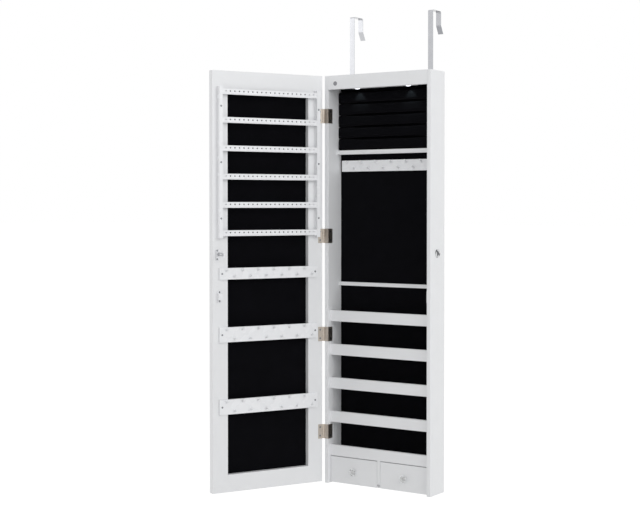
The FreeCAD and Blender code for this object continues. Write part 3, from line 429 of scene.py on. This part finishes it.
for vertex, start, end in zip(cushion.data.vertices, flat_rolls, puffed):
    move = end - start
    if move.length > PUFF_LIMIT:
        move = move.normalized() * PUFF_LIMIT
    spot = start + move
    along = (spot.x - middle.x) / ((high.x - low.x) / 2)
    roll_middle = low.z + roll_tall * (min(ROLLS - 1, max(0, int((start.z - low.z) / roll_tall))) + 0.5)
    across = (spot.z - roll_middle) / (roll_tall / 2)
    front = (high.y - start.y) / (high.y - low.y)
    crown = max(0.0, 1 - across**2) * max(0.0, 1 - along**ROLL_END_POWER)
    spot.y -= ROLL_CROWN * crown * front
    spot.x = min(high.x, max(low.x, spot.x))
    spot.y = min(high.y, max(low.y, spot.y))
    spot.z = min(high.z, max(low.z, spot.z))
    if abs(across) > 1 - ROLL_SLIT / roll_tall:
        spot.z = roll_middle + math.copysign(roll_tall / 2 - ROLL_SLIT / 2, across)
    vertex.co = spot
smooth = cushion.modifiers.new("smooth_cloth", "SUBSURF")
smooth.levels = 1
smooth.render_levels = 1
shade_smooth(cushion)
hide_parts("ring_cushion")
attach(cushion, "cabinet")

# Drawers: a lacquered front on a tray each, of the same board as the case.
# They slide in the bay below the lowest shelf.
for side in ("left", "right"):
    dress(["drawer_%s_front" % side, "drawer_%s_tray" % side], lacquer)

# Knobs: clear acrylic, cut with facets like glass, one screwed on each drawer front.
# They pass part of the light and show the white front through.
acrylic, tree, place, shader = finish("clear_cut_acrylic", IOR=1.49, Transmission_Weight=0.55)
tree.links.new(between(tree, mottle(tree, place, 12), "#FFFFFF", "#F4F6F7"), shader.inputs["Base Color"])
tree.links.new(spread(tree, mottle(tree, place, 4), 0.02, 0.06), shader.inputs["Roughness"])
dress(["drawer_left_knob", "drawer_right_knob"], acrylic)

# Hook bars, earring rack and the case of the magnet: white moulded plastic, screwed on.
# It is glossier than the boards and has only a trace of sink marks.
PLASTIC = "#F0F1F3"
PLASTIC_COOL = "#EAEBEE"
plastic, tree, place, shader = finish("white_moulded_plastic", IOR=1.49)
tree.links.new(between(tree, mottle(tree, place, 25), PLASTIC, PLASTIC_COOL), shader.inputs["Base Color"])
tree.links.new(spread(tree, mottle(tree, place, 30, 1.0), 0.24, 0.3), shader.inputs["Roughness"])
relief(tree, shader, mottle(tree, place, 0.8, 2.0), 0.00003, 0.15)
dress(
    [
        "necklace_bar",
        "hook_bar_1",
        "hook_bar_2",
        "hook_bar_3",
        "rack_cheek_hinge",
        "rack_cheek_free",
        "rack_rails",
        "catch_magnet",
    ],
    plastic,
)

# Lamp: a shallow moulded housing behind the top rail, closed by a snap-on cover.
# Both are of the same white plastic as the hook bars.
dress(["light_housing", "light_cover"], plastic)

# Lenses: two domes of frosted clear plastic pressed into the cover, lit from inside.
# Below each, a small beam falls on the velvet and leaves a faint cool patch.
LENS_GLOW = 2.2
LENS_SEGMENTS = 40
LENS_RINGS = 20
LAMP_COLOUR = "#DCF4EE"
LAMP_POWER = 0.12
LAMP_SPREAD = math.radians(76)
LAMP_LEAN = 0.55
LAMP_BLEND = 0.7
LAMP_SOFTNESS = 0.002
LAMP_DROP = 0.001
lit_lens, tree, place, shader = finish("lit_frosted_lens", IOR=1.49, Emission_Strength=LENS_GLOW)
tree.links.new(between(tree, mottle(tree, place, 3), "#FFFFFF", "#F2F5FF"), shader.inputs["Base Color"])
tree.links.new(between(tree, mottle(tree, place, 3), "#FFFFFF", "#EAF0FF"), shader.inputs["Emission Color"])
tree.links.new(spread(tree, mottle(tree, place, 1.5), 0.35, 0.5), shader.inputs["Roughness"])
low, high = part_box("light_lenses")
lens_radius = (high.y - low.y) / 2
bm = bmesh.new()
for lens_x in (low.x + lens_radius, high.x - lens_radius):
    dome = bmesh.ops.create_uvsphere(
        bm,
        u_segments=LENS_SEGMENTS,
        v_segments=LENS_RINGS,
        radius=1.0,
    )["verts"]
    bmesh.ops.scale(bm, verts=dome, vec=(lens_radius, lens_radius, high.z - low.z))
    bmesh.ops.translate(bm, verts=dome, vec=(lens_x, (low.y + high.y) / 2, high.z))
    beam = bpy.data.lights.new("cabinet_lamp", "SPOT")
    beam.energy = LAMP_POWER
    beam.color = colour(LAMP_COLOUR)[:3]
    beam.spot_size = LAMP_SPREAD
    beam.spot_blend = LAMP_BLEND
    beam.shadow_soft_size = LAMP_SOFTNESS
    lamp = bpy.data.objects.new("cabinet_lamp", beam)
    lamp.location = (lens_x, (low.y + high.y) / 2, low.z - LAMP_DROP)
    lamp.rotation_euler = Vector((0, LAMP_LEAN, -1)).to_track_quat("-Z", "Y").to_euler()
    bpy.context.scene.collection.objects.link(lamp)
bmesh.ops.bisect_plane(
    bm,
    geom=list(bm.verts) + list(bm.edges) + list(bm.faces),
    plane_co=(0, 0, high.z),
    plane_no=(0, 0, 1),
    clear_outer=True,
)
bmesh.ops.holes_fill(bm, edges=[edge for edge in bm.edges if edge.is_boundary])
bmesh.ops.recalc_face_normals(bm, faces=bm.faces)
lenses = as_object("lamp_lens_domes", bm, lit_lens)
shade_smooth(lenses)
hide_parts("light_lenses")
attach(lenses, "cabinet")

# Push switch: dark grey moulded plastic, a round body pressed into the top rail and its
# button.  A fine grain keeps it dull.
dark, tree, place, shader = finish("dark_moulded_plastic", IOR=1.49)
tree.links.new(between(tree, mottle(tree, place, 5), "#9A9A9E", "#8C8C91"), shader.inputs["Base Color"])
tree.links.new(spread(tree, mottle(tree, place, 2), 0.4, 0.55), shader.inputs["Roughness"])
relief(tree, shader, mottle(tree, place, 0.5, 2.0), 0.00005, 0.4)
dress(["switch_body", "switch_button"], dark)

# Cam lock and over-door hooks: polished chrome plate on die-cast zinc and steel strip.
# The lock's face carries painted reflection: dark patches in its colour stand in for what its curved face
# reflects.
chrome, tree, place, shader = finish("polished_chrome_plate", Metallic=1.0)
tree.links.new(between(tree, mottle(tree, place, 20), "#C2C3C6", "#B6B7BB"), shader.inputs["Base Color"])
tree.links.new(spread(tree, mottle(tree, place, 5, 5.0), 0.1, 0.22), shader.inputs["Roughness"])
dress(["lock_nut", "lock_cam", "over_door_hook_left", "over_door_hook_right"], chrome)
# The lock's chrome, with painted reflection: a sharpened noise turns its colour nearly black in patches.
lock_chrome, tree, place, shader = finish("chrome_with_painted_reflections", Metallic=1.0)
painted_reflection_patches = add(
    tree,
    "ShaderNodeMapRange",
    {},
    {"Value": mottle(tree, place, 8, 0.0), "From Min": 0.44, "From Max": 0.58},
).outputs["Result"]
tree.links.new(between(tree, painted_reflection_patches, "#CFD0D2", "#4A4C50"), shader.inputs["Base Color"])
tree.links.new(spread(tree, mottle(tree, place, 3, 5.0), 0.12, 0.26), shader.inputs["Roughness"])
dress(["lock_barrel", "lock_plug"], lock_chrome)

# Strike and catch plate: stamped steel with bright zinc plate, duller than chrome.
zinc, tree, place, shader = finish("bright_zinc_plate", Metallic=1.0)
zinc_marks = mottle(tree, place, 4, 4.0)
tree.links.new(between(tree, zinc_marks, "#CFD0D2", "#B9BABD"), shader.inputs["Base Color"])
tree.links.new(spread(tree, mottle(tree, place, 2, 5.0), 0.28, 0.45), shader.inputs["Roughness"])
dress(["strike", "catch_plate"], zinc)

# Screws: zinc plated chipboard screws, with heads driven flush or left low on the surface.
# The plate is dulled, so the heads read as small grey dots.
worn_zinc, tree, place, shader = finish("dulled_zinc_plate", Metallic=1.0)
worn_marks = mottle(tree, place, 1.5, 4.0)
tree.links.new(between(tree, worn_marks, "#8F9194", "#74767A"), shader.inputs["Base Color"])
tree.links.new(spread(tree, mottle(tree, place, 0.8, 5.0), 0.35, 0.55), shader.inputs["Roughness"])
dress(["rack_screws", "cabinet_screws", "door_screws"], worn_zinc)

# Hinges: stamped steel leaves rolled about a steel pin and screwed to case and door.
# Satin nickel plate gives them a warm cast.
nickel, tree, place, shader = finish("satin_nickel_plate", Metallic=1.0)
nickel_marks = mottle(tree, place, 6, 4.0)
tree.links.new(between(tree, nickel_marks, "#CDC4BA", "#B3A99E"), shader.inputs["Base Color"])
tree.links.new(spread(tree, mottle(tree, place, 1.5, 5.0), 0.3, 0.45), shader.inputs["Roughness"])
dress(["hinge_cabinet_leaves", "hinge_door_leaves", "hinge_pins"], nickel)

# Door: lacquered stiles and rails round a silvered mirror, which lies in a rebate outside.
# The glass is slightly green and almost without haze.
dress(["door_stile_hinge", "door_stile_free", "door_rail_top", "door_rail_bottom"], lacquer)
silvered, tree, place, shader = finish("silvered_glass", Metallic=1.0)
tree.links.new(between(tree, mottle(tree, place, 90), "#EDF1F0", "#E9EEEC"), shader.inputs["Base Color"])
tree.links.new(spread(tree, mottle(tree, place, 50, 5.0), 0.008, 0.02), shader.inputs["Roughness"])
shader.inputs["Coat Weight"].default_value = 1.0
dress(["door_mirror"], silvered)
